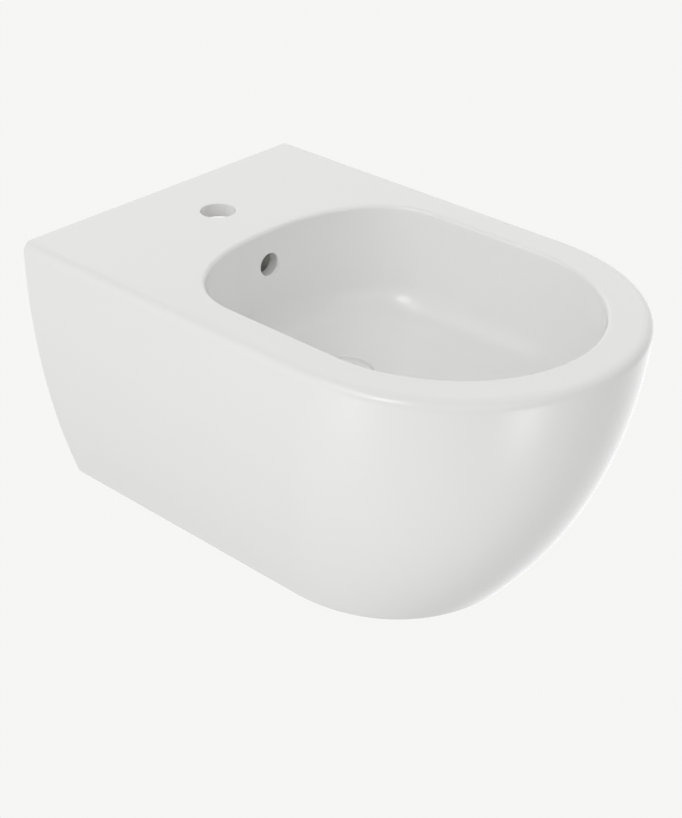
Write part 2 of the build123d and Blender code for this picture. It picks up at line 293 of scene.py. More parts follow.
def wave_group():
    """Height of the slow wave and the orange peel, in metres."""
    group, given, result = open_group(
        "casting_wave",
        [("Wave Size", "Float", 0.06), ("Wave Height", "Float", 0.0001),
         ("Peel Size", "Float", 0.003), ("Peel Height", "Float", 0.000004)],
        [("Height", "Float")],
    )
    place = add(group, "TexCoord").outputs["Object"]
    wave = centred_noise(group, place, given.outputs["Wave Size"], 0.0)
    peel = centred_noise(group, place, given.outputs["Peel Size"], 1.0)
    wave = math_node(group, "MULTIPLY", wave, given.outputs["Wave Height"])
    peel = math_node(group, "MULTIPLY", peel, given.outputs["Peel Height"])
    group.links.new(math_node(group, "ADD", wave, peel), result.inputs["Height"])
    return group


def tone_group():
    """A colour that drifts slowly and has a few specks, and a gloss that drifts with it."""
    group, given, result = open_group(
        "drifting_tone",
        [("Color", "Color", (0.8, 0.8, 0.8, 1)), ("Speck Color", "Color", (0.4, 0.36, 0.3, 1)),
         ("Drift Size", "Float", 0.08), ("Drift", "Float", 0.03), ("Speck Spacing", "Float", 0.02),
         ("Speck Share", "Float", 0.1), ("Roughness", "Float", 0.12), ("Roughness Drift", "Float", 0.05)],
        [("Color", "Color"), ("Roughness", "Float"), ("Specks", "Float")],
    )
    place = add(group, "TexCoord").outputs["Object"]
    drift = centred_noise(group, place, given.outputs["Drift Size"], 2.0)
    shade = math_node(group, "ADD", math_node(group, "MULTIPLY", drift, given.outputs["Drift"]), 1.0)
    toned = add(group, "VectorMath", {0: given.outputs["Color"]}, operation="SCALE")
    group.links.new(shade, toned.inputs["Scale"])
    cell_scale = math_node(group, "DIVIDE", 1.0, given.outputs["Speck Spacing"])
    cells = add(group, "TexVoronoi", {"Vector": place, "Scale": cell_scale})
    parts = add(group, "SeparateColor", {"Color": cells.outputs["Color"]})
    chosen = math_node(group, "LESS_THAN", parts.outputs["Red"], given.outputs["Speck Share"])
    speck_size = math_node(group, "MULTIPLY", parts.outputs["Green"], 0.03)
    near = math_node(group, "LESS_THAN", cells.outputs["Distance"], speck_size)
    specks = math_node(group, "MULTIPLY", chosen, near)
    mixed = add(group, "Mix", {0: specks, 6: toned.outputs["Vector"], 7: given.outputs["Speck Color"]}, data_type="RGBA")
    change = math_node(group, "MULTIPLY", drift, given.outputs["Roughness Drift"])
    group.links.new(mixed.outputs[2], result.inputs["Color"])
    group.links.new(math_node(group, "ADD", given.outputs["Roughness"], change), result.inputs["Roughness"])
    group.links.new(specks, result.inputs["Specks"])
    return group


def grain_group():
    """The fine grain of a mould or of bare china: its height in metres, and a mask of its hollows."""
    group, given, result = open_group(
        "moulded_grain",
        [("Grain Size", "Float", 0.0006), ("Grain Height", "Float", 0.00002)],
        [("Height", "Float"), ("Hollows", "Float")],
    )
    place = add(group, "TexCoord").outputs["Object"]
    grain = centred_noise(group, place, given.outputs["Grain Size"], 3.0)
    group.links.new(math_node(group, "MULTIPLY", grain, given.outputs["Grain Height"]), result.inputs["Height"])
    group.links.new(add(group, "MapRange", {0: grain, 1: 0.0, 2: -0.2}).outputs[0], result.inputs["Hollows"])
    return group


def edge_group():
    """A mask of outer edges that get rubbed, broken up so that it isn't a drawn line."""
    group, given, result = open_group(
        "rubbed_edges",
        [("Width", "Float", 0.0006), ("Patch Size", "Float", 0.004), ("Amount", "Float", 1.0)],
        [("Mask", "Float")],
    )
    rounded = add(group, "Bevel", {"Radius": given.outputs["Width"]}, samples=4)
    surface = add(group, "NewGeometry")
    bend = add(group, "VectorMath", {0: rounded.outputs["Normal"], 1: surface.outputs["Normal"]}, operation="DOT_PRODUCT")
    edge = add(group, "MapRange", {0: bend.outputs["Value"], 1: 0.995, 2: 0.85}).outputs[0]
    place = add(group, "TexCoord").outputs["Object"]
    patches = centred_noise(group, place, given.outputs["Patch Size"], 2.0)
    broken = add(group, "MapRange", {0: patches, 1: -0.15, 2: 0.15}).outputs[0]
    mask = math_node(group, "MULTIPLY", math_node(group, "MULTIPLY", edge, broken), given.outputs["Amount"])
    group.links.new(mask, result.inputs["Mask"])
    return group


def dust_group():
    """A mask of settled dust: thick on faces that look up, in uneven patches."""
    group, given, result = open_group(
        "settled_dust",
        [("Patch Size", "Float", 0.02), ("Amount", "Float", 0.3)],
        [("Mask", "Float")],
    )
    surface = add(group, "NewGeometry")
    upward = add(group, "SeparateXYZ", {"Vector": surface.outputs["Normal"]}).outputs["Z"]
    lying = add(group, "MapRange", {0: upward, 1: 0.3, 2: 1.0}).outputs[0]
    place = add(group, "TexCoord").outputs["Object"]
    patches = centred_noise(group, place, given.outputs["Patch Size"], 4.0)
    uneven = add(group, "MapRange", {0: patches, 1: -0.25, 2: 0.2}).outputs[0]
    mask = math_node(group, "MULTIPLY", math_node(group, "MULTIPLY", lying, uneven), given.outputs["Amount"])
    group.links.new(mask, result.inputs["Mask"])
    return group


casting_wave = wave_group()
drifting_tone = tone_group()
moulded_grain = grain_group()
rubbed_edges = edge_group()
settled_dust = dust_group()
print("node groups:", sorted(g.name for g in bpy.data.node_groups))

# %% [markdown]
# ## Materials
#
# Five materials cover the object. The glaze is nearly even, with a soft gloss and the slow wave of a
# casting. Where no glaze was sprayed, at the wall and inside, the fired china is matt, warmer and
# grainy, with kiln dust on it. The anchor blocks are black glass-filled nylon, the sleeves and pads
# natural nylon, which lets a little light in. Nuts, washers and screws are steel with bright zinc, whose
# thin coat shifts between bluish and yellowish and wears first at the edges.

# %% Materials
def open_material(name):
    """A material with its tree and its main shader."""
    material = bpy.data.materials.new(name)
    material.use_nodes = True
    return material, material.node_tree, material.node_tree.nodes["Principled BSDF"]


def wire(tree, shader, values):
    """Links or sets the shader's sockets."""
    for key, value in values.items():
        if isinstance(value, bpy.types.NodeSocket):
            tree.links.new(value, shader.inputs[key])
        else:
            shader.inputs[key].default_value = value


def bumped(tree, height):
    """A normal from a height in metres."""
    return add(tree, "Bump", {"Strength": 1.0, "Distance": 1.0, "Height": height}).outputs["Normal"]


def laid_over(tree, below, above, mask):
    """One colour or number over another where the mask says so."""
    if isinstance(above, float):
        return add(tree, "Mix", {0: mask, 2: below, 3: above}).outputs[0]
    return add(tree, "Mix", {0: mask, 6: below, 7: above}, data_type="RGBA").outputs[2]


def glaze_material():
    """White gloss glaze."""
    material, tree, shader = open_material("white_glaze")
    tone = use_group(tree, drifting_tone, {
        "Color": (0.84, 0.84, 0.832, 1), "Speck Color": (0.62, 0.58, 0.5, 1), "Drift Size": 0.09,
        "Drift": 0.012, "Speck Spacing": 0.03, "Speck Share": 0.05, "Roughness": 0.12, "Roughness Drift": 0.03,
    })
    wave = use_group(tree, casting_wave, {
        "Wave Size": 0.07, "Wave Height": 0.00012, "Peel Size": 0.0035, "Peel Height": 0.0000025,
    })
    wire(tree, shader, {
        "Base Color": tone.outputs["Color"], "Roughness": tone.outputs["Roughness"], "IOR": 1.5,
        "Normal": bumped(tree, wave.outputs["Height"]),
    })
    return material


def bare_china_material():
    """Fired china without glaze."""
    material, tree, shader = open_material("bare_china")
    tone = use_group(tree, drifting_tone, {
        "Color": (0.68, 0.668, 0.638, 1), "Speck Color": (0.34, 0.28, 0.21, 1), "Drift Size": 0.04,
        "Drift": 0.14, "Speck Spacing": 0.009, "Speck Share": 0.3, "Roughness": 0.76, "Roughness Drift": 0.2,
    })
    dust = use_group(tree, settled_dust, {"Patch Size": 0.03, "Amount": 0.5})
    grain = use_group(tree, moulded_grain, {"Grain Size": 0.0012, "Grain Height": 0.00012})
    wave = use_group(tree, casting_wave, {
        "Wave Size": 0.045, "Wave Height": 0.0008, "Peel Size": 0.006, "Peel Height": 0.00006,
    })
    height = math_node(tree, "ADD", grain.outputs["Height"], wave.outputs["Height"])
    wire(tree, shader, {
        "Base Color": laid_over(tree, tone.outputs["Color"], (0.80, 0.79, 0.76, 1), dust.outputs["Mask"]),
        "Roughness": tone.outputs["Roughness"], "Normal": bumped(tree, height),
    })
    return material


def nylon_material(name, colour, rubbed, gloss, glow):
    """Moulded nylon; glow is how much light it lets in."""
    material, tree, shader = open_material(name)
    tone = use_group(tree, drifting_tone, {
        "Color": colour, "Speck Color": rubbed, "Drift Size": 0.012, "Drift": 0.2, "Speck Spacing": 0.004,
        "Speck Share": 0.15, "Roughness": gloss, "Roughness Drift": 0.25,
    })
    grain = use_group(tree, moulded_grain, {"Grain Size": 0.0005, "Grain Height": 0.00003})
    edges = use_group(tree, rubbed_edges, {"Width": 0.0006, "Patch Size": 0.003, "Amount": 0.7})
    dust = use_group(tree, settled_dust, {"Patch Size": 0.012, "Amount": 0.35})
    worn = laid_over(tree, tone.outputs["Color"], rubbed, edges.outputs["Mask"])
    dusty = laid_over(tree, worn, (0.62, 0.60, 0.56, 1), dust.outputs["Mask"])
    wire(tree, shader, {
        "Base Color": dusty, "Normal": bumped(tree, grain.outputs["Height"]),
        "Roughness": laid_over(tree, tone.outputs["Roughness"], 0.8, dust.outputs["Mask"]),
        "Subsurface Weight": glow, "Subsurface Scale": 0.002,
    })
    return material


def zinc_material():
    """Bright zinc on steel."""
    material, tree, shader = open_material("bright_zinc")
    tone = use_group(tree, drifting_tone, {
        "Color": (0.62, 0.64, 0.67, 1), "Speck Color": (0.80, 0.80, 0.78, 1), "Drift Size": 0.006,
        "Drift": 0.25, "Speck Spacing": 0.0015, "Speck Share": 0.3, "Roughness": 0.30, "Roughness Drift": 0.3,
    })
    place = add(tree, "TexCoord").outputs["Object"]
    film = centred_noise(tree, place, 0.008, 2.0)
    film_mask = add(tree, "MapRange", {0: film, 1: -0.05, 2: 0.2}).outputs[0]
    filmed = laid_over(tree, tone.outputs["Color"], (0.70, 0.66, 0.55, 1), film_mask)
    edges = use_group(tree, rubbed_edges, {"Width": 0.0004, "Patch Size": 0.002, "Amount": 0.8})
    grain = use_group(tree, moulded_grain, {"Grain Size": 0.0004, "Grain Height": 0.000008})
    wire(tree, shader, {
        "Base Color": laid_over(tree, filmed, (0.42, 0.42, 0.43, 1), edges.outputs["Mask"]),
        "Metallic": 1.0, "Normal": bumped(tree, grain.outputs["Height"]),
        "Roughness": laid_over(tree, tone.outputs["Roughness"], 0.5, grain.outputs["Hollows"]),
    })
    return material


glaze = glaze_material()
biscuit = bare_china_material()
black_nylon = nylon_material("black_nylon", (0.035, 0.036, 0.04, 1), (0.13, 0.13, 0.135, 1), 0.48, 0.0)
white_nylon = nylon_material("natural_nylon", (0.80, 0.785, 0.73, 1), (0.88, 0.87, 0.83, 1), 0.42, 0.15)
zinc = zinc_material()
print("materials:", [m.name for m in (glaze, biscuit, black_nylon, white_nylon, zinc)])

# %% [markdown]
# ## Plan curves of the china
#
# Seen from above, the outside is two straight sides and a nose. The nose is a superellipse, a curve that
# can be a little squarer than an ellipse. Below the rim both sides and the nose follow large arcs.
# Every point knows its outward direction, so the same curve also gives walls and rounded edges.

# %% Outside curves
rim_z = cad_high.z / MM
bottom_z = cad_low.z / MM
height = rim_z - bottom_z
half_width = cad_high.x / MM
length = -cad_low.y / MM
side_straight = 371.0
side_straight_lean = 0.223
upright_band = 22.9
side_arc_radius = 753.7
nose_arc_radius = 477.5
nose_arc_rise = 28.3
nose_power_top = 2.02
nose_power_bottom = 2.15
top_edge_radius = 9.9
bottom_edge_radius = 15.0
side_points = 16
nose_points = 110


def arc_sag(radius, reach):
    """How far an arc falls away from its tangent at this reach."""
    return radius - math.sqrt(radius * radius - reach * reach)


def half_width_at(depth):
    """Half the width at a depth below the rim."""
    return half_width - arc_sag(side_arc_radius, max(0.0, depth - upright_band))


def nose_at(depth):
    """Distance from the wall to the nose at a depth below the rim."""
    furthest = arc_sag(nose_arc_radius, top_edge_radius + nose_arc_rise)
    return length + furthest - arc_sag(nose_arc_radius, depth + nose_arc_rise)


def end_point(half, start, end, power, angle):
    """A point of a rounded end and its outward direction; angle runs from the left to the right."""
    across = abs(math.cos(angle)) ** (2 / power)
    along = abs(math.sin(angle)) ** (2 / power)
    side = math.copysign(1.0, -math.cos(angle))
    ahead = math.copysign(1.0, end - start)
    out = Vector((side * across ** (power - 1) / half, ahead * along ** (power - 1) / abs(end - start)))
    return Vector((side * half * across, start + (end - start) * along)), out.normalized()


def outside_point(i, depth, back=0.0):
    """Point i of the outside's plan curve and its outward direction. It starts and ends at the wall."""
    half = half_width_at(depth)
    straight = -(side_straight - side_straight_lean * depth)
    last = 2 * side_points + nose_points
    if i < side_points:
        return Vector((-half, back + (straight - back) * i / side_points)), Vector((-1.0, 0.0))
    if i > last - side_points:
        return Vector((half, back + (straight - back) * (last - i) / side_points)), Vector((1.0, 0.0))
    power = nose_power_top + (nose_power_bottom - nose_power_top) * depth / height
    angle = math.pi * (i - side_points) / nose_points
    return end_point(half, straight, -nose_at(depth), power, angle)


def outside_row(depth, inset=0.0, back=0.0):
    """All points of the outside at one depth, moved inwards."""
    row = []
    for i in range(2 * side_points + nose_points + 1):
        point, out = outside_point(i, depth, back)
        point = point - out * inset
        row.append((point.x, point.y, rim_z - depth))
    return row


print("rim row has", len(outside_row(0.0)), "points")

# %% [markdown]
# ## Rounded edges of the outside
#
# A bevel modifier could round the top and bottom edges. Here each edge is written as a quarter turn of
# rows instead, because the rows then run on evenly into the sides and the gloss has no kink.

# %% Outside rows
support = 1.5          # flat rows beside a rounded edge, so that the flat face stays flat in the gloss
edge_rows = 8
wall_rows = 44


def bottom_corner(i, bottom, inset, back):
    """Where the side meets the bottom at point i: the corner, its outward direction and the side's lean."""
    point, out = outside_point(i, bottom, back)
    above, _ = outside_point(i, bottom - 1.0, back)
    lean = math.atan((above - point).dot(out))
    return point - out * inset, out, lean


def shell_rows(top, bottom, inset, top_round, bottom_round, back):
    """Rows of the outside or of its hollow: flat top, top edge, side, bottom edge, flat bottom."""
    count = 2 * side_points + nose_points + 1
    rows = [outside_row(top, inset + top_round + support, back)]
    rows[0] = [(x, y, rim_z - top) for x, y, _ in rows[0]]
    for k in range(edge_rows + 1):
        angle = math.pi / 2 * k / edge_rows
        rows.append(outside_row(
            top + top_round * (1 - math.cos(angle)), inset + top_round * (1 - math.sin(angle)), back
        ))
    corner = [bottom_corner(i, bottom, inset, back) for i in range(count)]
    reach = [bottom_round * math.tan((math.pi / 2 - lean) / 2) for _, _, lean in corner]
    side_top = top + top_round
    for k in range(1, wall_rows):
        row = []
        for i in range(count):
            side_bottom = bottom - reach[i] * math.cos(corner[i][2])
            depth = side_top + (side_bottom - side_top) * k / wall_rows
            point, out = outside_point(i, depth, back)
            point = point - out * inset
            row.append((point.x, point.y, rim_z - depth))
        rows.append(row)
    for k in range(edge_rows + 1):
        row = []
        for (point, out, lean), run in zip(corner, reach):
            turned = (math.pi / 2 - lean) * k / edge_rows
            along = -run + bottom_round * math.sin(turned)
            inward = bottom_round * (1 - math.cos(turned))
            moved = along * math.sin(lean) + inward * math.cos(lean)
            sunk = along * math.cos(lean) - inward * math.sin(lean)
            place = point - out * moved
            row.append((place.x, place.y, rim_z - bottom - sunk))
        rows.append(row)
    flat = []
    for (point, out, lean), run in zip(corner, reach):
        place = point - out * (run + support)
        flat.append((place.x, place.y, rim_z - bottom))
    rows.append(flat)
    return rows


print("outside has", len(shell_rows(0, height, 0, top_edge_radius, bottom_edge_radius, 0.0)), "rows")

# %% [markdown]
# ## Level curves of the bowl
#
# The bowl is a stack of level curves: a squarer end towards the wall, two straight sides and a round
# front. Going down they give the rounded lip, the leaning wall, a generous turn and a floor that falls
# to the drain.

# %% Bowl curves
rim_side_width = 40.6
rim_front_width = 39.5
ledge_depth = 149.1
bowl_back_straight = 245.9
bowl_back_power = 2.29
bowl_front_power = 1.99
bowl_draft = math.radians(3.0)
bowl_depth = 118.0
bowl_blend_radius = 36.0
bowl_blend_turn = math.radians(80.0)
floor_fall = 5.6
bowl_wall = 10.0
lip_radius = 4.0
drain_from_wall = 247.0
drain_radius = 23.0
drain_seat_radius = 31.0
drain_seat_depth = 3.0
glaze_rounding = 1.2
seat_rounding = 1.9
loop_points = 160
loop_samples = 90     # fine points of each rounded end, before the loop is spaced evenly

rim_level = (
    half_width - rim_side_width, ledge_depth, length - rim_front_width,
    bowl_back_straight, side_straight, bowl_back_power, bowl_front_power,
)
drain_level = (
    drain_seat_radius + seat_rounding,
    drain_from_wall - drain_seat_radius - seat_rounding,
    drain_from_wall + drain_seat_radius + seat_rounding,
    drain_from_wall, drain_from_wall, 2.0, 2.0,
)


def moved_in(level, inset):
    """A level curve moved inwards."""
    half, back, front, *rest = level
    return (half - inset, back + inset, front - inset, *rest)


def between(first, second, share):
    """A level curve part of the way from one to another."""
    return tuple(a + (b - a) * share for a, b in zip(first, second))


def even_loop(points, count):
    """A closed loop of evenly spaced points, starting where the given one starts."""
    line = np.array(points + points[:1])
    steps = np.concatenate([[0.0], np.cumsum(np.linalg.norm(np.diff(line, axis=0), axis=1))])
    wanted = np.arange(count) * steps[-1] / count
    return list(zip(np.interp(wanted, steps, line[:, 0]), np.interp(wanted, steps, line[:, 1])))


def level_loop(level, depth, count=loop_points):
    """A level curve's points at a depth below the rim. It starts at the front and turns to the right."""
    half, back, front, back_straight, front_straight, back_power, front_power = level
    points = []
    for k in range(loop_samples // 2, loop_samples):
        points.append(tuple(end_point(half, -front_straight, -front, front_power, math.pi * k / loop_samples)[0]))
    for k in range(loop_samples, 0, -1):
        points.append(tuple(end_point(half, -back_straight, -back, back_power, math.pi * k / loop_samples)[0]))
    for k in range(0, loop_samples // 2):
        points.append(tuple(end_point(half, -front_straight, -front, front_power, math.pi * k / loop_samples)[0]))
    return [(x, y, rim_z - depth) for x, y in even_loop(points, count)]


def circle_loop(radius, x, y, z, count, first_angle=-math.pi / 2):
    """A level circle that starts towards -Y and turns to the right."""
    turn = 2 * math.pi / count
    return [
        (x + radius * math.cos(first_angle + turn * k), y + radius * math.sin(first_angle + turn * k), z)
        for k in range(count)
    ]


def bowl_levels(blend_count, floor_count, wall_count):
    """(depth, level) from the lip's end to the drain seat's edge."""
    lip_end = lip_radius * (1 - math.sin(bowl_draft))
    blend_end = bowl_depth - floor_fall
    blend_start = blend_end - bowl_blend_radius * math.sin(bowl_blend_turn)
    lean = math.tan(bowl_draft)
    levels = []
    for k in range(wall_count):
        depth = lip_end + (blend_start - lip_end) * k / wall_count
        levels.append((depth, moved_in(rim_level, (depth - lip_end) * lean)))
    wall_inset = (blend_start - lip_end) * lean
    for k in range(blend_count + 1):
        angle = bowl_blend_turn * k / blend_count
        inset = wall_inset + bowl_blend_radius * (1 - math.cos(angle))
        levels.append((blend_start + bowl_blend_radius * math.sin(angle), moved_in(rim_level, inset)))
    floor_edge = levels[-1][1]
    for k in range(1, floor_count + 1):
        share = k / floor_count
        levels.append((blend_end + floor_fall * (1 - (1 - share) ** 2), between(floor_edge, drain_level, share)))
    return levels


print("bowl has", len(bowl_levels(14, 16, 14)), "levels")

# %% [markdown]
# ## From rows to closed meshes
#
# A loft tool would guess how the rows belong together. Here row after row is joined point to point, and
# flat faces close the ends. A closed mesh with its outside turned out is what the cutting steps need.

# %% Mesh helpers
def add_row(build, points):
    """New vertices along a row of millimetre points."""
    return [build.verts.new(metres(point)) for point in points]


def join_rows(build, first, second, closed, material=0):
    """Quads between two rows of as many vertices."""
    count = len(first)
    for k in range(count if closed else count - 1):
        after = (k + 1) % count
        face = build.faces.new((first[k], first[after], second[after], second[k]))
        face.material_index = material


def join_all(build, rows, closed, material=0):
    """Adds rows of points and the quads between them; hands back the rows of vertices."""
    made = [add_row(build, row) for row in rows]
    for first, second in zip(made, made[1:]):
        join_rows(build, first, second, closed, material)
    return made


def flat_face(build, outline, holes=(), material=0):
    """Closes a flat outline, around holes if there are any."""
    if not holes:
        build.faces.new(outline).material_index = material
        return
    loops = [outline, *holes]
    corners = [corner for loop in loops for corner in loop]
    for triangle in tessellate_polygon([[corner.co for corner in loop] for loop in loops]):
        build.faces.new([corners[k] for k in triangle]).material_index = material


def finish_mesh(build, name, materials):
    """Turns all faces outwards and makes the object."""
    bmesh.ops.recalc_face_normals(build, faces=build.faces)
    mesh = bpy.data.meshes.new(name)
    build.to_mesh(mesh)
    build.free()
    for material in materials:
        mesh.materials.append(material)
    mesh.shade_smooth()
    return link(bpy.data.objects.new(name, mesh))


def stacked_solid(name, rows, material):
    """A closed solid from closed rows, with a flat face at both ends."""
    build = bmesh.new()
    made = join_all(build, rows, True)
    flat_face(build, made[0])
    flat_face(build, made[-1])
    return finish_mesh(build, name, [material])


def block_solid(name, low, high, material):
    """A box between two millimetre corners."""
    (x0, y0, z0), (x1, y1, z1) = low, high
    rows = [[(x0, y0, z), (x1, y0, z), (x1, y1, z), (x0, y1, z)] for z in (z0, z1)]
    return stacked_solid(name, rows, material)


def shell_solid(name, rows, material):
    """A closed solid from rows that start and end at the wall."""
    build = bmesh.new()
    made = join_all(build, rows, False)
    flat_face(build, made[0])
    flat_face(build, made[-1])
    flat_face(build, [row[0] for row in made] + [row[-1] for row in reversed(made)])
    return finish_mesh(build, name, [material])


# %% [markdown]
# ## The glazed skin
#
# The skin is the block that the eye sees: the outside, the flat rim, the bowl with its drain seat, and
# the tap hole. The flat rim is filled around the two openings, and a narrow flat row runs beside every
# rounded edge, so that the flat face mirrors like a flat face.

# %% Skin
ledge_thickness = 14.0
collar_length = 38.0
tap_hole_radius = 17.5
tap_hole_from_wall = 79.1
seat_corner = 0.8
overcut = 2.0
lip_rows = 12
ring_rows = 5


def turned_edge(radius, rounding, depth):
    """(depth, radius) rows of a rounded mouth, from the flat face into the hole."""
    rows = []
    for k in range(ring_rows + 1):
        angle = math.pi / 2 * k / ring_rows
        rows.append((depth + rounding * (1 - math.cos(angle)), radius + rounding * (1 - math.sin(angle))))
    return rows


def drain_rings():
    """(depth, radius) of the drain's rings, from the seat's wall to the end of its hole."""
    seat_depth = bowl_depth + drain_seat_depth
    rings = turned_edge(drain_seat_radius, seat_rounding, bowl_depth)[1:]
    for k in range(ring_rows + 1):
        angle = math.pi / 2 * k / ring_rows
        rings.append((
            seat_depth - seat_corner * (1 - math.sin(angle)),
            drain_seat_radius - seat_corner * (1 - math.cos(angle)),
        ))
    rings.append((seat_depth, drain_radius + glaze_rounding + support))
    rings += turned_edge(drain_radius, glaze_rounding, seat_depth)
    rings.append((bowl_depth + bowl_wall + collar_length + overcut, drain_radius))
    return rings


def bowl_rows():
    """All closed rows of the bowl, from the flat rim to the end of the drain's hole."""
    rows = [level_loop(moved_in(rim_level, -(lip_radius + support)), 0.0)]
    for k in range(lip_rows + 1):
        angle = (math.pi / 2 - bowl_draft) * k / lip_rows
        level = moved_in(rim_level, -lip_radius * (1 - math.sin(angle)))
        rows.append(level_loop(level, lip_radius * (1 - math.cos(angle))))
    for depth, level in bowl_levels(16, 20, 16)[1:]:
        rows.append(level_loop(level, depth))
    for depth, radius in drain_rings():
        rows.append(circle_loop(radius, 0.0, -drain_from_wall, rim_z - depth, loop_points))
    return rows


def tap_hole_rows():
    """All closed rows of the tap hole."""
    count = loop_points // 2
    rings = [(0.0, tap_hole_radius + glaze_rounding + support)]
    rings += turned_edge(tap_hole_radius, glaze_rounding, 0.0)
    rings.append((ledge_thickness + overcut, tap_hole_radius))
    return [circle_loop(radius, 0.0, -tap_hole_from_wall, rim_z - depth, count) for depth, radius in rings]


def glazed_skin():
    """The block before it is hollowed."""
    build = bmesh.new()
    outside = join_all(build, shell_rows(0.0, height, 0.0, top_edge_radius, bottom_edge_radius, 0.0), False)
    bowl = join_all(build, bowl_rows(), True)
    tap_hole = join_all(build, tap_hole_rows(), True)
    flat_face(build, outside[0], (bowl[0], tap_hole[0]))
    flat_face(build, bowl[-1])
    flat_face(build, tap_hole[-1])
    flat_face(build, outside[-1])
    flat_face(build, [row[0] for row in outside] + [row[-1] for row in reversed(outside)], material=1)
    return finish_mesh(build, "bidet_body", [glaze, biscuit])


body = glazed_skin()
print("skin has", len(body.data.polygons), "faces")

# %% [markdown]
# ## The hollow
#
# A casting has no sharp inner corners. So the hollow is first made as a plain solid, with the bowl's
# outside, the drain collar, the overflow duct and the two wall sockets cut from it. Then it is remeshed
# into small even cells and relaxed. That rounds every corner by the same few millimetres, as slip does
# in a plaster mould. A bevel on these crossing shapes would break.

# %% Hollow
shell_wall = 11.0
bottom_thickness = 10.0
collar_wall = 12.0
duct_width = 24.0
duct_depth = 14.0
duct_wall = 7.0
bay_half_width = 100.0
bay_length = 330.0
bay_edge_radius = 3.0
stud_spacing = 180.0
socket_web = 10.0
socket_shelf = 12.0
socket_depth = 72.0
socket_side_gap = 1.0
socket_floor_below_stud = 41.0
block_width = 46.0
block_above_stud = 18.0
hollow_edge = 8.0
past_the_wall = 14.0
cell = 3.6
relax_rounds = 4


def bowl_outside():
    """The bowl's outer side: its levels grown by the wall."""
    rows = []
    for depth, level in bowl_levels(10, 10, 8):
        low = depth + bowl_wall * depth / bowl_depth
        rows.append(level_loop(moved_in(level, -bowl_wall), low))
    return stacked_solid("bowl_outside", rows, biscuit)


def drain_collar():
    """The thick ring that the waste fitting clamps."""
    ends = (bowl_depth + bowl_wall / 2, bowl_depth + bowl_wall + collar_length)
    radius = drain_radius + collar_wall
    rows = [circle_loop(radius, 0.0, -drain_from_wall, rim_z - depth, loop_points) for depth in ends]
    return stacked_solid("drain_collar", rows, biscuit)


def duct_blocks(grown):
    """The overflow duct, or with grown its walls: a shaft behind the bowl and a run under its floor."""
    half = duct_width / 2 + grown
    behind = -(ledge_depth - bowl_wall)
    under = rim_z - bowl_depth - bowl_wall
    top = rim_z - ledge_thickness - duct_wall + grown
    low = under - duct_depth - grown
    shaft_front = behind - 2 * bowl_wall if grown else behind
    return [
        block_solid("duct_shaft", (-half, shaft_front, low), (half, behind + duct_depth + grown, top), biscuit),
        block_solid("duct_run", (-half, -drain_from_wall, low), (half, behind + duct_depth + grown, under), biscuit),
    ]


def socket_blocks(side):
    """Two shelves and two webs that go over one anchor block."""
    inner = stud_spacing / 2 - block_width / 2 - socket_side_gap
    outer = stud_spacing / 2 + block_width / 2 + socket_side_gap
    roof, floor = block_above_stud, -socket_floor_below_stud
    spans = [
        (inner - socket_web, half_width, roof, roof + socket_shelf),
        (inner - socket_web, half_width, floor - socket_shelf, floor),
        (inner - socket_web, inner, floor - socket_shelf, roof + socket_shelf),
        (outer, outer + socket_web, floor - socket_shelf, roof + socket_shelf),
    ]
    blocks = []
    for near, far, low_z, high_z in spans:
        low_x, high_x = sorted((side * near, side * far))
        low = (low_x, -socket_depth, low_z)
        high = (high_x, 2 * past_the_wall, high_z)
        blocks.append(block_solid("socket_wall", low, high, biscuit))
    return blocks


def bay_row(z, grown):
    """The underside's opening as a closed row: straight from the wall, then a half circle."""
    half = bay_half_width + grown
    middle_y = -(bay_length - bay_half_width)
    row = [(-half, past_the_wall, z)]
    for k in range(nose_points + 1):
        angle = math.pi * k / nose_points
        row.append((-half * math.cos(angle), middle_y - half * math.sin(angle), z))
    row.append((half, past_the_wall, z))
    return row


def bay_tool():
    """The opening in the underside."""
    rows = [bay_row(bottom_z - past_the_wall, 0.0), bay_row(bottom_z + bottom_thickness + overcut, 0.0)]
    return stacked_solid("bay_tool", rows, biscuit)


def combine(target, tools, operation="DIFFERENCE", solver="MANIFOLD"):
    """Cuts the tools from the target, or adds them, and removes them."""
    for tool in tools:
        step = target.modifiers.new(operation.lower(), "BOOLEAN")
        step.operation = operation
        step.solver = solver
        step.material_mode = "TRANSFER"
        step.object = tool
    settle(target)
    for tool in tools:
        bpy.data.objects.remove(tool)
    return target


def settle(target):
    """Turns an object's modifiers into its mesh."""
    graph = bpy.context.evaluated_depsgraph_get()
    mesh = bpy.data.meshes.new_from_object(target.evaluated_get(graph))
    target.modifiers.clear()
    target.data = mesh


def hollow_solid():
    """The space inside the casting, with soft corners."""
    low_edge = bottom_edge_radius - shell_wall
    rows = shell_rows(ledge_thickness, height - bottom_thickness, shell_wall, hollow_edge, low_edge, past_the_wall)
    hollow = shell_solid("hollow", rows, biscuit)
    combine(hollow, [bay_tool()], "UNION")
    walls = [bowl_outside(), drain_collar(), *duct_blocks(duct_wall)]
    for side in (-1, 1):
        walls += socket_blocks(side)
    combine(hollow, walls)
    cells = hollow.modifiers.new("even_cells", "REMESH")
    cells.mode = "VOXEL"
    cells.voxel_size = cell * MM
    relax = hollow.modifiers.new("relax", "SMOOTH")
    relax.factor = 0.5
    relax.iterations = relax_rounds
    settle(hollow)
    return hollow


hollow = hollow_solid()
print("hollow has", len(hollow.data.polygons), "faces")

# %% [markdown]
# ## Cutting the skin open
#
# The crisp holes are cut last: the overflow with a flared tool that leaves a rounded mouth, the duct
# behind it, the screw holes in the sockets and the soft edge of the opening underneath.

# %% Cutting
overflow_radius = 11.5
overflow_depth = 36.0
overflow_rounding = 1.8
clamp_from_wall = 38.0
sleeve_hole_radius = 8.6


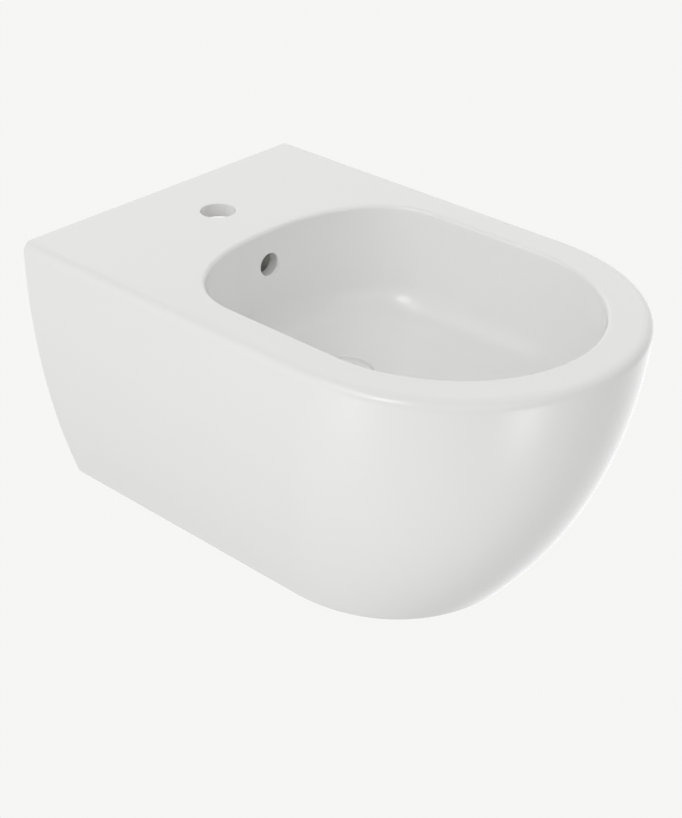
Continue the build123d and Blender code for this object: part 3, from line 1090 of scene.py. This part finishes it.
def turned_tool(name, profile, place, material):
    """A solid turned about an axis along Y; the profile gives (radius, y)."""
    x, z = place
    rows = []
    for radius, y in profile:
        ring = circle_loop(radius, 0.0, 0.0, 0.0, loop_points // 2)
        rows.append([(x + a, y, z + b) for a, b, _ in ring])
    return stacked_solid(name, rows, material)


def overflow_tool():
    """A short tube that flares out where it meets the bowl's wall."""
    z = rim_z - overflow_depth
    lip_end = lip_radius * (1 - math.sin(bowl_draft))
    wall_y = -(ledge_depth + (overflow_depth - lip_end) * math.tan(bowl_draft))
    profile = [(overflow_radius, wall_y + bowl_wall + overcut)]
    last_turn = math.radians(75.0)
    for k in range(ring_rows + 2):
        angle = last_turn * k / (ring_rows + 1)
        profile.append((
            overflow_radius + overflow_rounding * (1 - math.cos(angle)),
            wall_y + overflow_rounding * (1 - math.sin(angle)),
        ))
    profile.append((profile[-1][0], wall_y - overcut))
    return turned_tool("overflow_tool", profile, (0.0, z), glaze)


def bay_flare():
    """Rounds the outer edge of the underside's opening."""
    rows = [bay_row(bottom_z + bay_edge_radius + overcut, 0.0)]
    last_turn = math.radians(78.0)
    for k in range(ring_rows + 1):
        angle = last_turn * k / ring_rows
        rows.append(bay_row(
            bottom_z + bay_edge_radius * (1 - math.sin(angle)), bay_edge_radius * (1 - math.cos(angle))
        ))
    widest = bay_edge_radius * (1 - math.cos(last_turn))
    rows.append(bay_row(bottom_z - past_the_wall, widest))
    return stacked_solid("bay_flare", rows, glaze)


def screw_hole_tool(side):
    """The hole for one clamp sleeve."""
    x = side * stud_spacing / 2
    ends = (-socket_floor_below_stud + overcut, -socket_floor_below_stud - socket_shelf - overcut)
    rows = [circle_loop(sleeve_hole_radius, x, -clamp_from_wall, z, loop_points // 4) for z in ends]
    return stacked_solid("screw_hole_tool", rows, biscuit)


combine(body, [hollow, bay_flare(), *duct_blocks(0.0), screw_hole_tool(-1), screw_hole_tool(1), overflow_tool()])
body.data.shade_smooth()
body.data.set_sharp_from_angle(angle=math.radians(35.0))
weighted = body.modifiers.new("even_shading", "WEIGHTED_NORMAL")
weighted.keep_sharp = True
settle(body)
print("body has", len(body.data.polygons), "faces and slots", [m.name for m in body.data.materials])

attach(body, "bidet")
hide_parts("ceramic_body")

# %% [markdown]
# ## Threads
#
# Each fixing holds an M12 nut on the wall stud and an M8 clamp screw that is turned from below. A thread
# could be faked with rings, but rings don't climb. Here four lines run up the rod as true right-hand
# helices, two along the crest and two along the root, and quads join each line to the next. The last line
# joins the first one of the next turn. The rough ends are cut off later by the shape of the real piece.

# %% Thread
circle = 2 * math.pi
thread_points = 48
crest_start, crest_end, root_start, root_end = 0.0, 0.125, 0.4375, 0.6875   # shares of the pitch


def thread_solid(name, root_radius, crest_radius, pitch, low, high):
    """A threaded rod along Z that reaches past both heights."""
    lines = [
        (crest_start, crest_radius), (crest_end, crest_radius),
        (root_start, root_radius), (root_end, root_radius),
    ]
    last = (math.ceil((high - low) / pitch) + 3) * thread_points
    start = low - 2 * pitch
    build = bmesh.new()
    made = []
    for share, radius in lines:
        made.append(add_row(build, [
            (
                radius * math.cos(circle * i / thread_points),
                radius * math.sin(circle * i / thread_points),
                start + pitch * (share + i / thread_points),
            )
            for i in range(last + 1)
        ]))
    for lower, upper in zip(made, made[1:]):
        join_rows(build, lower, upper, False)
    join_rows(build, made[-1][:last + 1 - thread_points], made[0][thread_points:], False)
    bottom = made[0][:thread_points + 1] + [line[0] for line in reversed(made[1:])]
    top = made[-1][last - thread_points:] + [line[-1] for line in reversed(made[:-1])]
    for loop, z in ((bottom, start), (top, start + pitch * (1 + last / thread_points))):
        middle = build.verts.new(metres((0.0, 0.0, z)))
        for first, second in zip(loop, loop[1:] + loop[:1]):
            build.faces.new((first, second, middle))
    return finish_mesh(build, name, [zinc])


def ring_solid(name, profile, corners=96):
    """A solid turned about Z, or with six corners a hexagon solid; the profile gives (radius, z)."""
    rows = [circle_loop(radius, 0.0, 0.0, z, corners, 0.0) for radius, z in profile]
    return stacked_solid(name, rows, zinc)


def place_fixing(piece, x, y, z, turn=0.0):
    """Moves a piece's mesh to its place, turned about X, and gives its edges an even shading."""
    place = Matrix.Translation(metres((x, y, z))) @ Matrix.Rotation(turn, 4, "X")
    piece.data.transform(place)
    piece.data.shade_smooth()
    piece.data.set_sharp_from_angle(angle=math.radians(30.0))


# %% [markdown]
# ## Nuts
#
# A real nut is cut from a hexagon bar and its corners are turned down, which leaves the curved line on
# each flat. So the hexagon is cut with a turned shape, as on a lathe. A threaded rod then cuts the bore,
# and two small cones open its mouths. The construction model's bore is plain, so the piece is made new.

# %% Nuts
nut_across_flats = 18.0
nut_thickness = 10.8
nut_chamfer_height = 0.8
nut_chamfer_width = 1.4
nut_thread = (5.05, 6.0, 1.75)     # root radius, crest radius and pitch of the rod that cuts it
nut_mouth = 6.4
nut_front = -24.5                  # the face on the washer, from the wall


def nut_piece(side_name, side):
    """One M12 nut on its stud's axis."""
    corner = nut_across_flats / math.sqrt(3)
    spare = 0.35
    slope = nut_chamfer_height / nut_chamfer_width
    nut = ring_solid(f"threaded_nut_{side_name}", [(corner, 0.0), (corner, nut_thickness)], 6)
    turned = ring_solid("turned_shape", [
        (corner - nut_chamfer_width, 0.0),
        (corner + spare, nut_chamfer_height + spare * slope),
        (corner + spare, nut_thickness - nut_chamfer_height - spare * slope),
        (corner - nut_chamfer_width, nut_thickness),
    ])
    combine(nut, [turned], "INTERSECT")
    root, crest, pitch = nut_thread
    past = 0.5
    tools = [thread_solid("stud_thread", root, crest, pitch, 0.0, nut_thickness)]
    for face, away in ((0.0, -1.0), (nut_thickness, 1.0)):
        cone = sorted([(nut_mouth + past, face + away * past), (root, face - away * (nut_mouth - root))], key=lambda p: p[1])
        tools.append(ring_solid("mouth_cone", cone))
    combine(nut, tools)
    place_fixing(nut, side * stud_spacing / 2, nut_front, 0.0, math.radians(90.0))
    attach(nut, "bidet")
    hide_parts(f"stud_nut_{side_name}")
    return nut


for side_name, side in (("left", -1), ("right", 1)):
    nut = nut_piece(side_name, side)
    print(nut.name, "has", len(nut.data.polygons), "faces")

# %% [markdown]
# ## Clamp screws
#
# The clamp screw is a set screw with a hexagon socket at its lower end, where the key goes in, and a thin
# dog point on top that presses on the pad. The threaded rod is trimmed by a turned outline, so the thread
# runs out over both chamfers as it does when it is cut. The screw rides on its own body, because it turns
# while the pad only travels.

# %% Clamp screws
screw_thread = (3.32, 4.0, 1.25)   # root radius, crest radius and pitch
screw_shoulder = -30.1             # where the dog point starts, from the stud's axis
screw_end = -71.1
screw_chamfer = 1.0
point_radius = 2.75
point_length = 4.0
point_chamfer = 0.5
key_across_flats = 4.0
key_depth = 5.0


def screw_piece(side_name, side):
    """One M8 clamp screw."""
    root, crest, pitch = screw_thread
    spare = 0.2
    screw = thread_solid(f"threaded_screw_{side_name}", root, crest, pitch, screw_end, screw_shoulder)
    outline = ring_solid("screw_outline", [
        (crest - screw_chamfer, screw_end),
        (crest + spare, screw_end + screw_chamfer + spare),
        (crest + spare, screw_shoulder - screw_chamfer - spare),
        (crest - screw_chamfer, screw_shoulder),
    ])
    combine(screw, [outline], "INTERSECT")
    point_top = screw_shoulder + point_length
    point = ring_solid("dog_point", [
        (point_radius, screw_shoulder - screw_chamfer),
        (point_radius, point_top - point_chamfer),
        (point_radius - point_chamfer, point_top),
    ])
    combine(screw, [point], "UNION")
    corner = key_across_flats / math.sqrt(3)
    key = ring_solid("key_socket", [
        (corner, screw_end - screw_chamfer),
        (corner, screw_end + key_depth),
        (corner / 4, screw_end + key_depth + corner / 3),
    ], 6)
    mouth = ring_solid("socket_mouth", [
        (corner + 0.7, screw_end - 0.5),
        (corner - 0.5, screw_end + 0.7),
    ])
    combine(screw, [key, mouth])
    place_fixing(screw, side * stud_spacing / 2, -clamp_from_wall, 0.0)
    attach(screw, f"screw_{side_name}")
    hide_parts(f"clamp_screw_{side_name}")
    return screw


for side_name, side in (("left", -1), ("right", 1)):
    screw = screw_piece(side_name, side)
    print(screw.name, "has", len(screw.data.polygons), "faces")

# %% [markdown]
# ## Blocks, washers, sleeves and pads
#
# These four have the right shape already, so the construction nodes stay and only get their finish. The
# material goes on the object's slot, which leaves the node's mesh alone. A weld and a narrow bevel are
# added as modifiers, because a moulded edge is never knife sharp and needs a radius to catch the light.

# %% Nodes that stay
node_finishes = {
    # name: material, edge radius in millimetres
    "anchor_block": (black_nylon, 0.35),
    "stud_washer": (zinc, 0.3),
    "clamp_sleeve": (white_nylon, 0.25),
    "pressure_pad": (white_nylon, 0.25),
}


def dress_node(name, material, edge_radius):
    """Gives a construction node its finish and breaks its edges."""
    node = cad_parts[name]
    for slot in node.material_slots:
        slot.link = "OBJECT"
        slot.material = material
    weld = node.modifiers.new("weld", "WELD")
    weld.merge_threshold = 0.001 * MM
    bevel = node.modifiers.new("broken_edges", "BEVEL")
    bevel.width = edge_radius * MM
    bevel.segments = 2
    bevel.limit_method = "ANGLE"
    bevel.angle_limit = math.radians(40.0)
    bevel.harden_normals = True


for kind, (material, edge_radius) in node_finishes.items():
    for side_name in ("left", "right"):
        dress_node(f"{kind}_{side_name}", material, edge_radius)
print("nodes that stay:", sorted(node_finishes))
